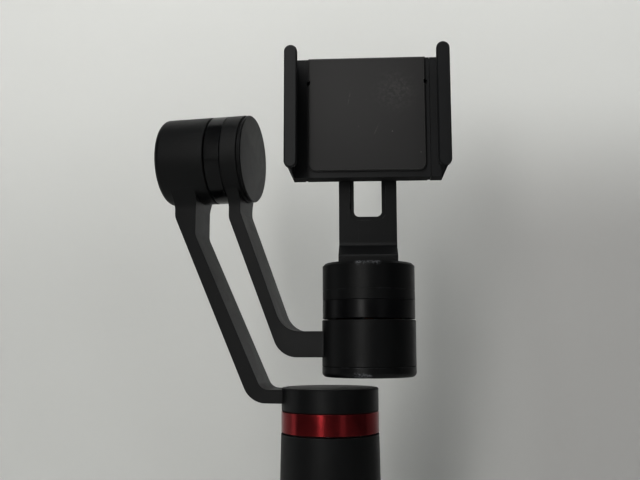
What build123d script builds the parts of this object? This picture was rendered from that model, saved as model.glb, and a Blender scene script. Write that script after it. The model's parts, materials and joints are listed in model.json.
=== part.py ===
"""Three-axis handheld gimbal for a phone.

Frame: millimetres, +Z up along the handle, origin at the mouth of the tripod socket in the
base. The controls face -Y. The pose is the stored one: the pan arm leans to the left of the
handle, the roll arm hangs inside it, and the clamp stands above the tilt motor, facing -Y.

Three coordinate systems are used:
- the handle frame, which is the part's own frame;
- the arm frame, the handle frame turned about Z by PAN_REST: both arms lie in its XZ plane;
- the clamp frame, upright at the tilt axis, with +Y pointing behind the phone.
"""
from build123d import *
import math
import os

os.makedirs("parts", exist_ok=True)

# ---------------------------------------------------------------- driving dimensions (mm, degrees)
PAN_REST = -9.3          # stored angle of the arms about the handle
MOTOR_R = 17.8           # outside radius of the roll and tilt motors
PAN_R = 18.6             # outside radius of the pan motor
RUN_GAP = 0.45           # running gap between a motor housing and its bell
WALL = 1.8               # wall of the motor housings and rings
WEB_T = 1.4              # end wall of a bell or a ring
SHAFT_R = 3.0            # bore of the motor bearings
SHAFT_PLAY = 0.04        # radial running clearance of each shaft
FIT = 0.04               # gap left round an inset piece
CLEAR = 0.3              # clearance of sliding pieces

# handle
HANDLE_TOP = 170.0       # height of the handle's rim under the pan bell
BASE_H = 12.0            # height of the base cap
BASE_R = 18.4
HANDLE_BORE = 16.3
HANDLE_TOP_R = 18.75
HANDLE_MAX_R = 19.1
HANDLE_WAIST_R = 18.2
SPIGOT_TOP = 17.0        # the base cap's spigot inside the tube
BASE_SCREW_Z = 14.6
SOCKET_R = 2.55          # core radius of the 1/4-20 tripod thread
SOCKET_DEPTH = 9.0
INSERT_R = 5.0

# control panel on the front of the handle
PANEL_FRONT = 17.5       # distance of the panel's flat face in front of the handle's axis
PANEL_T = 1.8
PANEL_W = 16.0
PANEL_L = 64.0
PANEL_Z = 112.0
STICK_Z = 128.0
STICK_HOLE_R = 4.6
PIVOT_Y = -13.4          # both joystick axes cross here
MODE_Z = 106.0
MODE_R = 3.9
POWER_Z = 92.5
POWER_R = 2.9
LIGHT_Z = 98.6
PORT_Z = 100.0           # charging port, on the back
PORT_W = 9.0
PORT_H = 3.3

# electronics in the handle
BOARD_FRONT = -11.4
BOARD_T = 1.2
CELL_R = 13.0
CELL_Z = (18.5, 83.5)

# pan motor, above the handle
PAN_BELL_H = 8.5
PAN_RING_H = 8.7         # ring that carries the outer arm

# roll motor, on the roll axis
ROLL_Z = 278.9           # height of the roll axis
ROLL_GAP_X = -47.3       # plane between roll housing and roll bell, in the arm frame
ROLL_HOUSING_L = 20.9
ROLL_BELL_H = 6.9
ROLL_RING_L = 7.0        # ring that carries the inner arm
ROLL_CAP_T = 1.1

# tilt motor, upright beside the pan axis
TILT_X = 15.4            # distance of the tilt axis from the pan axis, in the arm frame
TILT_GAP_Z = 212.8       # plane between tilt housing and tilt bell
TILT_HOUSING_L = 17.6
TILT_BELL_H = 7.6
TILT_CAP_H = 14.0
TILT_END_H = 3.8

# arms
ARM_DEPTH = 16.0
ROOT_R = 10.0            # blend from an arm's faces onto the roll motor's drum
ARM_RIM = 1.1            # wall left beside the wiring channel
CHANNEL_DEPTH = 8.0
LID_T = 1.2

# clamp: heights above the part's origin, depths behind the tilt axis
CLAMP_BOTTOM = 270.2
CLAMP_TOP = 319.6
CLAMP_HALF = 32.4        # half the width over the closed jaws
SEAM_HALF = 25.4         # half the width of the body between the jaws
BODY_FRONT = 5.0
BODY_BACK = 13.2
COVER_T = 1.4
FRONT_T = 1.3
PAD_FRONT = 3.6
PAD_HALF = 23.7
PAD_BOTTOM = 272.6
JAW_FRONT = -9.2
LIP_W = 5.1
LIP_T = 2.3
JAW_WALL = 2.9
JAW_PAD_T = 1.0
JAW_CHAMFER = (2.9, 6.4)
JAW_FLARE = 0.7          # the jaw's floor stands this far outside its wall
LIP_BELOW = 1.4          # lower end of the lip above the clamp's bottom
LIP_ABOVE = 1.3          # upper end of the lip above the clamp's top
LATCH_Z = (-11.2, -9.4)  # latch slots beside the pad, below the clamp's top
ROD_Z = 20.0             # guide rods, above and below the clamp's middle
ROD_Y = 9.0
ROD_R = 1.0
TONGUE_HALF = 15.9
TONGUE_END = -19.0       # end of the sliding jaw's tongue inside the body
LUG_L = 4.0

# neck plate and balance lock
NECK_HALF = 11.8
NECK_T = 3.0
NECK_FRONT = BODY_BACK + 0.2
NECK_TOP = 306.0
FOOT_FRONT = 4.8
FOOT_BOTTOM = 224.0
BEND_LOW = 238.9         # the joggle starts here and ends at BEND_HIGH
BEND_HIGH = 243.6
SLOT_HALF = 5.75
SLOT_BOTTOM = 255.6
SLOT_TOP = 300.6
SLOT_CHAMFER = 1.5
BLOCK_Z = 287.0          # height of the balance block's middle on the clamp cover
BLOCK_L = 14.0
KNOB_R = 7.6
KNOB_FLANGE_R = 8.6
LOCK_TAP_R = 1.65        # core radius of the M4 lock thread

CLAMP_MID = (CLAMP_BOTTOM + CLAMP_TOP) / 2
PAN_RING_Z = HANDLE_TOP + PAN_BELL_H
PAN_TOP = PAN_RING_Z + PAN_RING_H
ROLL_RING_X = ROLL_GAP_X + ROLL_BELL_H
TILT_CAP_Z = TILT_GAP_Z + TILT_BELL_H
TILT_TOP = TILT_CAP_Z + TILT_CAP_H
TILT_R = MOTOR_R + 0.2   # the tilt housing stands slightly proud of its bell

# ---------------------------------------------------------------- frames
arm_frame = Rot(0, 0, PAN_REST)
clamp_frame = arm_frame * Pos(TILT_X, 0, 0) * Rot(0, 0, -PAN_REST)
pan_motor_at = Pos(0, 0, HANDLE_TOP)
roll_motor_at = arm_frame * Pos(ROLL_GAP_X, 0, ROLL_Z) * Rot(0, 90, 0)
tilt_motor_at = clamp_frame * Pos(0, 0, TILT_GAP_Z)

parts = {}


# ---------------------------------------------------------------- helpers
def block(x, y, z):
    """Box from its low and high limits along each axis."""
    centre = [(low + high) / 2 for low, high in (x, y, z)]
    return Pos(*centre) * Box(x[1] - x[0], y[1] - y[0], z[1] - z[0])


def disc(radius, z0, z1):
    """Cylinder about Z from z0 to z1."""
    return Pos(0, 0, (z0 + z1) / 2) * Cylinder(radius, z1 - z0)


def ring(inner, outer, z0, z1):
    """Hollow cylinder about Z from z0 to z1."""
    return disc(outer, z0, z1) - disc(inner, z0 - 1, z1 + 1)


def bar_x(radius, x0, x1, y, z):
    """Round bar along X."""
    return Pos((x0 + x1) / 2, y, z) * Rot(0, 90, 0) * Cylinder(radius, x1 - x0)


def bar_y(radius, x, y0, y1, z):
    """Round bar along Y."""
    return Pos(x, (y0 + y1) / 2, z) * Rot(90, 0, 0) * Cylinder(radius, y1 - y0)


def around(shape, count, start=0.0):
    """Copies of a shape spaced evenly about Z."""
    return [Rot(0, 0, start + 360 * i / count) * shape for i in range(count)]


def group(shapes, at=Pos(0, 0, 0)):
    """Separate solids placed in a frame and kept together in one node."""
    return Compound(children=[solid for shape in shapes for solid in (at * shape).solids()])


def rounded_face(points, rounds):
    """Closed outline; rounds maps a point's index to its corner radius."""
    face = make_face(Polyline(*points, close=True))
    for index, radius in rounds.items():
        corner = face.vertices().sort_by_distance((points[index][0], points[index][1], 0))[0]
        face = fillet(corner, radius)
    return face


def slab_y(face, y0, y1):
    """Extrude an outline drawn in (x, z) between two depths along Y."""
    return Pos(0, y1, 0) * extrude(Plane.XZ * face, y1 - y0)


def slab_x(face, half):
    """Extrude an outline drawn in (y, z) to both sides of x = 0."""
    return extrude(Plane.YZ * face, half, both=True)


def rim_chamfer(shape, radius, size, pick):
    """Chamfer the round outer edge that pick chooses from the edges of one radius."""
    rims = [e for e in shape.edges().filter_by(GeomType.CIRCLE) if abs(e.radius - radius) < 0.01]
    return chamfer(pick(rims), size)


# ---------------------------------------------------------------- motors
def add_motor(name, at, outer_r, bell_h, with_board):
    """Working pieces of one brushless motor.

    Local Z runs from the housing to the bell, and z = 0 is the housing's rim.
    """
    core_r = outer_r - 3.6
    core_z = (0.9, bell_h - 3.1)
    tube_top = bell_h - 3.3
    bearing_w = 2.2

    base = ring(5.3, 7.0, -8.0, tube_top) + ring(6.9, outer_r - 2.2, -2.6, -1.2)
    parts[f"{name}_stator_base"] = at * base

    teeth = 12
    core = ring(7.0 + FIT, 9.0, *core_z)
    tooth = block((8.6, core_r - 1.2), (-1.0, 1.0), core_z)
    shoe = block((core_r - 1.4, core_r + 2), (-2.9, 2.9), core_z) & disc(core_r, *core_z)
    for piece in around(tooth + shoe, teeth):
        core = core + piece
    parts[f"{name}_stator_core"] = at * core

    coil_x = (9.7, core_r - 1.6)
    coil = block(coil_x, (-1.7, 1.7), (core_z[0] - 0.7, core_z[1] + 0.7))
    coil = coil - block((coil_x[0] - 1, coil_x[1] + 1), (-1.05, 1.05),
                        (core_z[0] - 0.05, core_z[1] + 0.05))
    parts[f"{name}_windings"] = group(around(coil, teeth), at)

    races = []
    for low in (-7.9, tube_top - bearing_w):
        races.append(ring(SHAFT_R, 3.7, low, low + bearing_w))
        races.append(ring(4.5, 5.28, low, low + bearing_w))
        ball = Pos(4.1, 0, low + bearing_w / 2) * Sphere(0.38)
        races.extend(around(ball, 9))
    parts[f"{name}_bearings"] = group(races, at)

    bell = ring(outer_r - 1.6, outer_r, RUN_GAP, bell_h)
    bell = bell + ring(SHAFT_R, outer_r - 1.4, bell_h - WEB_T, bell_h)
    bell = bell + ring(SHAFT_R, 5.0, bell_h - 2.7, bell_h)
    for piece in around(Pos(10.4, 0, 0) * disc(2.2, bell_h - 2, bell_h + 1), 6):
        bell = bell - piece
    bell = rim_chamfer(bell, outer_r, 0.25, lambda rims: rims)
    parts[f"{name}_bell"] = at * bell

    count = 14
    turn = math.radians(360 / count - 2.0)
    wedge = make_face(Polyline((0, 0), (30, 0), (30 * math.cos(turn), 30 * math.sin(turn)),
                               close=True))
    magnet = ring(outer_r - 3.1, outer_r - 1.65, 0.75, bell_h - WEB_T - 0.2)
    magnet = magnet & extrude(wedge, bell_h)
    parts[f"{name}_magnets"] = group(around(magnet, count), at)

    shaft = ring(1.8, SHAFT_R - SHAFT_PLAY, -9.2, bell_h)
    shaft = shaft + ring(2.5, 4.2, -9.2, -8.4)
    parts[f"{name}_shaft"] = at * shaft

    if with_board:
        board = ring(5.6, 14.4, -11.6, -10.5)
        for piece in around(block((7.4, 10.4), (-1.6, 1.6), (-10.6, -9.7)), 3, 20):
            board = board + piece
        parts[f"{name}_drive_board"] = at * board


def ledge(outer_r):
    """Seat in a motor housing for the stator's flange."""
    return ring(outer_r - 3.8, outer_r - 1.6, -4.2, -2.6)


# ---------------------------------------------------------------- handle
def panel_outline(grow):
    """Stadium outline of the control panel, drawn in (x, z)."""
    return Pos(0, PANEL_Z) * SlotOverall(PANEL_L + 2 * grow, PANEL_W + 2 * grow, rotation=90)


def handle_tube():
    """Turned aluminium tube: waisted grip, motor cup at the top, panel seat in front."""
    outline = make_face([
        Line((0, BASE_H), (BASE_R, BASE_H)),
        Spline((BASE_R, BASE_H), (HANDLE_WAIST_R, 62), (HANDLE_MAX_R, 140),
               (HANDLE_TOP_R, HANDLE_TOP)),
        Line((HANDLE_TOP_R, HANDLE_TOP), (0, HANDLE_TOP)),
        Line((0, HANDLE_TOP), (0, BASE_H)),
    ])
    tube = revolve(Plane.XZ * outline, Axis.Z)
    tube = tube - disc(HANDLE_BORE, BASE_H - 1, HANDLE_TOP + 1)
    tube = tube - disc(PAN_R - WALL, HANDLE_TOP - 14, HANDLE_TOP + 1)
    tube = tube + pan_motor_at * ledge(PAN_R + 0.2)
    tube = tube - slab_y(panel_outline(FIT), -30, -PANEL_FRONT + PANEL_T)
    port = Pos(0, PORT_Z) * SlotOverall(PORT_W + 2 * FIT, PORT_H + 2 * FIT)
    tube = tube - slab_y(port, 12, 30)
    screw_hole = bar_x(1.0 + FIT, 10, 30, 0, BASE_SCREW_Z)
    screw_hole = screw_hole + bar_x(1.9 + FIT, 17.2, 30, 0, BASE_SCREW_Z)
    for piece in around(screw_hole, 3, 30):
        tube = tube - piece
    return tube


def control_panel():
    """Flat front panel with holes for the joystick, two buttons and the light."""
    panel = slab_y(panel_outline(0), -PANEL_FRONT, -PANEL_FRONT + PANEL_T)
    panel = chamfer(panel.edges().group_by(Axis.Y)[0], 0.3)
    panel = panel - bar_y(STICK_HOLE_R, 0, -30, 0, STICK_Z)
    panel = panel - bar_y(MODE_R + CLEAR, 0, -30, 0, MODE_Z)
    panel = panel - bar_y(POWER_R + CLEAR, 0, -30, 0, POWER_Z)
    return panel - slab_y(Pos(0, LIGHT_Z) * SlotOverall(6 + 2 * FIT, 1.6 + 2 * FIT), -30, 0)


def push_button(radius, z):
    """Domed button with a retaining flange and a stem; it travels along +Y."""
    cap = bar_y(radius, 0, -PANEL_FRONT - 1.1, -15.2, z)
    cap = fillet(cap.edges().sort_by(Axis.Y)[0], 0.7)
    flange = bar_y(radius + 0.75, 0, -15.35, -14.7, z)
    return cap + flange + bar_y(1.2, 0, -14.8, BOARD_FRONT - 1.2 - 0.6, z)


def joystick_housing():
    """Square frame on the board that carries the yoke's two pins."""
    frame = block((-5, 5), (-15.2, BOARD_FRONT), (STICK_Z - 5, STICK_Z + 5))
    frame = frame - block((-4, 4), (-16, 0), (STICK_Z - 4, STICK_Z + 4))
    return frame - bar_x(0.55, -6, 6, PIVOT_Y, STICK_Z)


def joystick_yoke():
    """Small square ring that rocks about X and carries the stick's pins."""
    yoke = block((-3.2, 3.2), (PIVOT_Y - 0.7, PIVOT_Y + 0.7), (STICK_Z - 3.2, STICK_Z + 3.2))
    yoke = yoke - block((-2.2, 2.2), (PIVOT_Y - 2, PIVOT_Y + 2), (STICK_Z - 2.2, STICK_Z + 2.2))
    for side in (-1, 1):
        low, high = sorted((side * 3.1, side * 4.8))
        yoke = yoke + bar_x(0.5, low, high, PIVOT_Y, STICK_Z)
    return yoke - Pos(0, PIVOT_Y, STICK_Z) * Cylinder(0.55, 10)


def joystick_cap():
    """Stick with its thumb cap; it rocks about Z in the yoke."""
    stick = bar_y(1.5, 0, -20.0, PIVOT_Y + 0.7, STICK_Z)
    stick = stick + Pos(0, PIVOT_Y, STICK_Z) * Cylinder(0.5, 6.0)
    thumb = bar_y(5.6, 0, -22.0, -19.6, STICK_Z)
    thumb = fillet(thumb.edges().sort_by(Axis.Y)[0], 1.1)
    thumb = thumb - Pos(0, -22.0 - 10.4, STICK_Z) * Sphere(11.0)
    return stick + thumb


def base_cap():
    """Plug that closes the handle and holds the tripod insert."""
    cap = disc(BASE_R, 0, BASE_H) + ring(14.0, HANDLE_BORE - FIT, BASE_H - 0.1, SPIGOT_TOP)
    cap = rim_chamfer(cap, BASE_R, 1.0, lambda rims: sorted(rims, key=lambda e: e.center().Z)[0])
    cap = cap - disc(INSERT_R + FIT, -1, SOCKET_DEPTH)
    cap = cap - disc(INSERT_R + 1.5 + FIT, -1, 1.0)
    for z in (4.0, 6.2, 8.4):
        cap = cap - ring(BASE_R - 0.35, BASE_R + 2, z, z + 0.7)
    for piece in around(bar_x(1.0, 10, 30, 0, BASE_SCREW_Z), 3, 30):
        cap = cap - piece
    return cap


def charging_port():
    """Metal port shell with its tongue on a small carrier plate."""
    shell = slab_y(Pos(0, PORT_Z) * SlotOverall(PORT_W, PORT_H), 10.6, 18.2)
    shell = shell - slab_y(Pos(0, PORT_Z) * SlotOverall(PORT_W - 0.6, PORT_H - 0.6), 11.4, 20)
    shell = shell + block((-3.3, 3.3), (11.0, 16.6), (PORT_Z - 0.35, PORT_Z + 0.35))
    return shell + block((-7, 7), (9.6, 10.6), (PORT_Z - 5, PORT_Z + 5))


def main_board():
    """Control board with its switches, light source and chips."""
    back = BOARD_FRONT + BOARD_T
    board = block((-10.5, 10.5), (BOARD_FRONT, back), (88.5, 146))
    for z in (MODE_Z, POWER_Z):
        board = board + block((-2.5, 2.5), (BOARD_FRONT - 1.2, BOARD_FRONT + 0.1), (z - 2.5, z + 2.5))
    board = board + block((-2.2, 2.2), (BOARD_FRONT - 0.8, BOARD_FRONT + 0.1),
                          (LIGHT_Z - 0.7, LIGHT_Z + 0.7))
    for x, z, size in ((-4, 98, 7), (4, 112, 9), (-3, 128, 6), (5, 138, 5)):
        board = board + block((x - size / 2, x + size / 2), (back - 0.1, back + 1.0),
                              (z - size / 2, z + size / 2))
    return board


def add_handle():
    parts["handle_tube"] = handle_tube()
    parts["control_panel"] = control_panel()
    parts["mode_button"] = push_button(MODE_R, MODE_Z)
    parts["power_button"] = push_button(POWER_R, POWER_Z)
    parts["status_light"] = slab_y(Pos(0, LIGHT_Z) * SlotOverall(6, 1.6), -PANEL_FRONT + 0.05, -12.6)
    parts["joystick_housing"] = joystick_housing()
    parts["joystick_yoke"] = joystick_yoke()
    parts["joystick_cap"] = joystick_cap()
    parts["main_board"] = main_board()
    parts["charging_port"] = charging_port()
    parts["base_cap"] = base_cap()
    insert = disc(INSERT_R, 0, SOCKET_DEPTH) + disc(INSERT_R + 1.5, 0, 1.0)
    parts["tripod_insert"] = insert - disc(SOCKET_R, -1, SOCKET_DEPTH + 1)
    screw = bar_x(1.0 - FIT, 14.6, 17.4, 0, BASE_SCREW_Z) + bar_x(1.9, 17.25, 18.2, 0, BASE_SCREW_Z)
    screw = screw - block((17.8, 19), (-1.3, 1.3), (BASE_SCREW_Z - 0.25, BASE_SCREW_Z + 0.25))
    parts["base_screws"] = group(around(screw, 3, 30))
    parts["battery_cell"] = disc(CELL_R, *CELL_Z) + disc(5.5, CELL_Z[1] - 0.1, CELL_Z[1] + 0.8)
    holder = ring(CELL_R + CLEAR, 15.5, SPIGOT_TOP + 0.2, CELL_Z[1] + 3.9)
    parts["battery_holder"] = holder + ring(6.0, 15.5, CELL_Z[1] + 2.5, CELL_Z[1] + 3.9)
    spring_plate = disc(9.0, BASE_H + 0.1, BASE_H + 0.6) + ring(4.0, 5.0, BASE_H + 0.5, CELL_Z[0] - 0.1)
    top_plate = disc(5.0, CELL_Z[1] + 0.9, CELL_Z[1] + 2.2) + disc(9.0, CELL_Z[1] + 1.9, CELL_Z[1] + 2.4)
    parts["battery_contacts"] = group([spring_plate, top_plate])


# ---------------------------------------------------------------- arms
def outer_arm_outline():
    """Leaning arm from the pan ring up to the roll housing, in (x, z)."""
    points = [(-63.1, 267.0), (-62.2, 258.0), (-62.2, 254.9), (-29.7, 181.35), (-16.0, 181.35),
              (-16.0, 186.45), (-25.4, 186.45), (-53.4, 247.3), (-53.4, 258.0), (-52.4, 267.0)]
    return rounded_face(points, {2: 6.0, 3: 9.5, 6: 4.6, 7: 5.0})


def inner_arm_outline():
    """Leaning arm from the roll ring down to the tilt housing, in (x, z)."""
    points = [(-40.2, 267.0), (-39.3, 258.0), (-39.3, 253.7), (-17.8, 198.8), (1.0, 198.8),
              (1.0, 208.6), (-16.8, 208.6), (-34.6, 255.9), (-34.6, 267.0)]
    return rounded_face(points, {2: 6.0, 3: 9.5, 6: 9.5, 7: 5.0})


def wiring_channel(outline, rim, x_max):
    """Channel outline inside an arm, kept clear of the motors at both ends."""
    limits = Pos(x_max - 50, 220) * Rectangle(100, 76)
    return offset(outline, -rim) & limits


def arm_root(outline):
    """Flare that carries an arm's front and back faces tangentially onto the roll motor's drum."""
    middle = ARM_DEPTH / 2 + ROOT_R
    rise = math.sqrt((MOTOR_R + ROOT_R) ** 2 - middle ** 2)
    start = ROLL_Z - rise
    half = MOTOR_R * middle / (MOTOR_R + ROOT_R)
    root = slab_y(outline, -half, half) & block((-70, -30), (-half, half), (start, 267))
    for side in (-1, 1):
        root = root - bar_x(ROOT_R, -75, -25, side * middle, start)
    return root


def arm_with_lid(outline, x_max):
    """Arm with a wiring channel milled from behind, and the lid that closes it."""
    back = ARM_DEPTH / 2
    arm = slab_y(outline, -back, back) + arm_root(outline)
    arm = arm - slab_y(wiring_channel(outline, ARM_RIM, x_max), back - CHANNEL_DEPTH, back + 1)
    lid = slab_y(wiring_channel(outline, ARM_RIM + FIT, x_max - FIT), back - LID_T, back)
    return arm, lid


def add_arms():
    roll_at = Pos(ROLL_GAP_X, 0, ROLL_Z) * Rot(0, 90, 0)
    tilt_at = Pos(TILT_X, 0, TILT_GAP_Z)

    # outer arm: pan ring, leaning arm and the roll motor's cup are one casting
    arm, lid = arm_with_lid(outer_arm_outline(), -PAN_R - 1.0)
    arm = arm - disc(PAN_R - 2.0, PAN_RING_Z - 1, PAN_TOP + 1)
    pan_ring = ring(PAN_R - 2.0, PAN_R, PAN_RING_Z, PAN_TOP)
    pan_ring = rim_chamfer(pan_ring, PAN_R, 0.3, lambda rims: rims)
    pan_ring = pan_ring + ring(4.0, PAN_R - 1.9, PAN_RING_Z, PAN_RING_Z + WEB_T)
    pan_ring = pan_ring + ring(PAN_R - 3.2, PAN_R - 1.9, PAN_TOP - 3.0, PAN_TOP - 1.2)
    cup = disc(MOTOR_R, -ROLL_HOUSING_L, 0)
    cup = rim_chamfer(cup, MOTOR_R, 0.25, lambda rims: sorted(rims, key=lambda e: e.center().Z)[-1])
    cup = fillet(cup.edges().filter_by(GeomType.CIRCLE).sort_by(Axis.Z)[0], 2.2)
    cup_bore = disc(MOTOR_R - WALL, -ROLL_HOUSING_L + 2.2, 1)
    casting = arm - roll_at * cup_bore + pan_ring + roll_at * (cup - cup_bore)
    casting = casting + roll_at * ledge(MOTOR_R)
    parts["pan_arm"] = arm_frame * casting
    parts["pan_arm_lid"] = arm_frame * lid
    cover = disc(PAN_R - 2.0 - FIT, PAN_TOP - 1.2, PAN_TOP)
    parts["pan_top_cover"] = rim_chamfer(cover, PAN_R - 2.0 - FIT, 0.25,
                                         lambda rims: sorted(rims, key=lambda e: e.center().Z)[-1])

    # inner arm: roll ring, leaning arm and the tilt motor's cup are one casting
    arm, lid = arm_with_lid(inner_arm_outline(), TILT_X - TILT_R - 1.2)
    ring_at = Pos(ROLL_RING_X, 0, ROLL_Z) * Rot(0, 90, 0)
    roll_ring = ring(MOTOR_R - 2.0, MOTOR_R, 0, ROLL_RING_L)
    roll_ring = rim_chamfer(roll_ring, MOTOR_R, 0.3, lambda rims: rims)
    roll_ring = roll_ring + ring(4.0, MOTOR_R - 1.9, 0, WEB_T)
    housing = ring(MOTOR_R - WALL, TILT_R, -TILT_HOUSING_L, 0)
    housing = rim_chamfer(housing, TILT_R, 0.25, lambda rims: rims)
    housing = housing + ledge(MOTOR_R)
    arm = arm - ring_at * disc(MOTOR_R - 2.0, -3, ROLL_RING_L + 3)
    arm = arm - tilt_at * disc(MOTOR_R - WALL, -TILT_HOUSING_L - 1, 1)
    parts["roll_arm"] = arm_frame * (arm + ring_at * roll_ring + tilt_at * housing)
    parts["roll_arm_lid"] = arm_frame * lid
    cap = disc(MOTOR_R - 0.1, ROLL_RING_L + 0.6, ROLL_RING_L + 0.6 + ROLL_CAP_T)
    cap = rim_chamfer(cap, MOTOR_R - 0.1, 0.35, lambda rims: rims)
    cap = cap + disc(MOTOR_R - 0.7, ROLL_RING_L, ROLL_RING_L + 0.7)
    cap = cap + ring(MOTOR_R - 4.0, MOTOR_R - 2.0 - FIT, ROLL_RING_L - 2.5, ROLL_RING_L + 0.1)
    parts["roll_end_cap"] = arm_frame * ring_at * cap
    bottom = disc(TILT_R, -TILT_HOUSING_L - TILT_END_H, -TILT_HOUSING_L)
    bottom = fillet(bottom.edges().filter_by(GeomType.CIRCLE).sort_by(Axis.Z)[0], 1.8)
    bottom = bottom - disc(MOTOR_R - 4.0, -TILT_HOUSING_L - 1.6, -TILT_HOUSING_L + 1)
    bottom = bottom + ring(MOTOR_R - 4.0, MOTOR_R - WALL - FIT, -TILT_HOUSING_L - 0.1,
                           -TILT_HOUSING_L + 2.6)
    parts["tilt_end_cap"] = arm_frame * tilt_at * bottom


# ---------------------------------------------------------------- tilt cap and neck
def tilt_cap():
    """Cup over the tilt bell, with a raised saddle and a slot for the neck's foot."""
    cap = disc(MOTOR_R, TILT_CAP_Z, TILT_TOP)
    cap = rim_chamfer(cap, MOTOR_R, 0.9, lambda rims: sorted(rims, key=lambda e: e.center().Z)[-1])
    cap = cap - disc(MOTOR_R - 2.0, TILT_CAP_Z - 1, TILT_TOP - 2.6)
    cap = cap - ring(MOTOR_R - 0.2, MOTOR_R + 1, TILT_CAP_Z + 3.4, TILT_CAP_Z + 3.8)
    saddle = rounded_face([(-10.6, TILT_TOP - 1), (10.6, TILT_TOP - 1), (10.6, TILT_TOP + 2.2),
                           (-10.6, TILT_TOP + 2.2)], {2: 2.0, 3: 2.0})
    cap = cap + slab_y(saddle, -7.5, FOOT_FRONT)
    anchor = block((-8, 8), (FOOT_FRONT + NECK_T, FOOT_FRONT + NECK_T + 4.5),
                   (FOOT_BOTTOM, TILT_TOP - 1))
    cap = cap + anchor
    slot = block((-NECK_HALF - FIT, NECK_HALF + FIT), (FOOT_FRONT - FIT, FOOT_FRONT + NECK_T + FIT),
                 (FOOT_BOTTOM - 1, TILT_TOP + 4))
    cap = cap - slot
    for x in (-5.0, 5.0):
        cap = cap - bar_y(1.05, x, FOOT_FRONT, FOOT_FRONT + 8.6, FOOT_BOTTOM + 3.5)
    return cap


def neck_plate():
    """Bent plate with the balance slot; its foot is screwed inside the tilt cap."""
    rise = (BEND_HIGH - BEND_LOW) / (NECK_FRONT - FOOT_FRONT)
    drop = NECK_T * math.sqrt(1 + rise * rise)
    back_low = BEND_LOW - drop + rise * NECK_T
    back_high = back_low + rise * (NECK_FRONT - FOOT_FRONT)
    profile = [(FOOT_FRONT, FOOT_BOTTOM), (FOOT_FRONT, BEND_LOW), (NECK_FRONT, BEND_HIGH),
               (NECK_FRONT, NECK_TOP), (NECK_FRONT + NECK_T, NECK_TOP),
               (NECK_FRONT + NECK_T, back_high), (FOOT_FRONT + NECK_T, back_low),
               (FOOT_FRONT + NECK_T, FOOT_BOTTOM)]
    plate = slab_x(rounded_face(profile, {1: 1.0, 2: 2.5, 5: 1.0, 6: 2.5}), NECK_HALF)
    slot = Pos(0, (SLOT_BOTTOM + SLOT_TOP) / 2) * RectangleRounded(
        2 * SLOT_HALF, SLOT_TOP - SLOT_BOTTOM, 2.2)
    plate = plate - slab_y(slot, 0, 30)
    step = Pos(0, (SLOT_BOTTOM + SLOT_TOP) / 2) * RectangleRounded(
        2 * (SLOT_HALF + SLOT_CHAMFER), SLOT_TOP - SLOT_BOTTOM + 2 * SLOT_CHAMFER, 3.4)
    plate = plate - slab_y(step, 0, NECK_FRONT + 1.2)
    corners = [e for e in plate.edges().filter_by(Axis.Y) if e.center().Z > NECK_TOP - 0.1]
    plate = fillet(corners, 3.0)
    for x in (-5.0, 5.0):
        plate = plate - bar_y(1.05, x, FOOT_FRONT - 1, FOOT_FRONT + NECK_T + 1, FOOT_BOTTOM + 3.5)
    return plate


def neck_screws():
    """Two cap screws through the neck's foot into the tilt cap."""
    screws = []
    for x in (-5.0, 5.0):
        shank = bar_y(1.0, x, FOOT_FRONT - 0.1, FOOT_FRONT + 8.0, FOOT_BOTTOM + 3.5)
        head = bar_y(2.0, x, FOOT_FRONT - 1.8, FOOT_FRONT, FOOT_BOTTOM + 3.5)
        socket = bar_y(0.9, x, FOOT_FRONT - 2.0, FOOT_FRONT - 0.8, FOOT_BOTTOM + 3.5)
        screws.append(shank + head - socket)
    return screws


def add_tilt():
    parts["tilt_cap"] = clamp_frame * tilt_cap()
    parts["neck_plate"] = clamp_frame * neck_plate()
    parts["neck_screws"] = group(neck_screws(), clamp_frame)


# ---------------------------------------------------------------- clamp
def latch_slots():
    """Small slots on both sides of the pad, through the front wall of the body."""
    heights = [CLAMP_TOP + z for z in LATCH_Z]
    limits = (PAD_HALF - 0.7, PAD_HALF + 0.8)
    return [block(sorted((side * limits[0], side * limits[1])), (0, BODY_FRONT + FRONT_T + 0.5), heights)
            for side in (-1, 1)]


def clamp_body():
    """Hollow middle of the clamp; the sliding jaw's tongue enters from the right."""
    body = block((-SEAM_HALF, SEAM_HALF), (BODY_FRONT, BODY_BACK - COVER_T),
                 (CLAMP_BOTTOM, CLAMP_TOP))
    wall = 1.8
    body = body - block((-SEAM_HALF + wall, SEAM_HALF - wall),
                        (BODY_FRONT + FRONT_T, BODY_BACK), (CLAMP_BOTTOM + wall, CLAMP_TOP - wall))
    body = body - block((0, SEAM_HALF + 1), (ROD_Y - 1.9, ROD_Y + 1.9),
                        (CLAMP_MID - TONGUE_HALF - CLEAR, CLAMP_MID + TONGUE_HALF + CLEAR))
    for side in (-1, 1):
        body = body - bar_x(ROD_R, -40, 40, ROD_Y, CLAMP_MID + side * ROD_Z)
    for slot in latch_slots():
        body = body - slot
    return body


def clamp_cover():
    """Back plate of the clamp, with the block that rides in the neck's slot."""
    cover = block((-SEAM_HALF, SEAM_HALF), (BODY_BACK - COVER_T, BODY_BACK),
                  (CLAMP_BOTTOM, CLAMP_TOP))
    cover = chamfer(cover.edges().filter_by(Axis.Y), 1.0)
    rider = block((-SLOT_HALF + CLEAR, SLOT_HALF - CLEAR), (BODY_BACK - 0.1, NECK_FRONT + NECK_T - 0.3),
                  (BLOCK_Z - BLOCK_L / 2, BLOCK_Z + BLOCK_L / 2))
    rider = chamfer(rider.edges().filter_by(Axis.Y), 0.8)
    return cover + rider - bar_y(LOCK_TAP_R, 0, 0, 30, BLOCK_Z)


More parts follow.
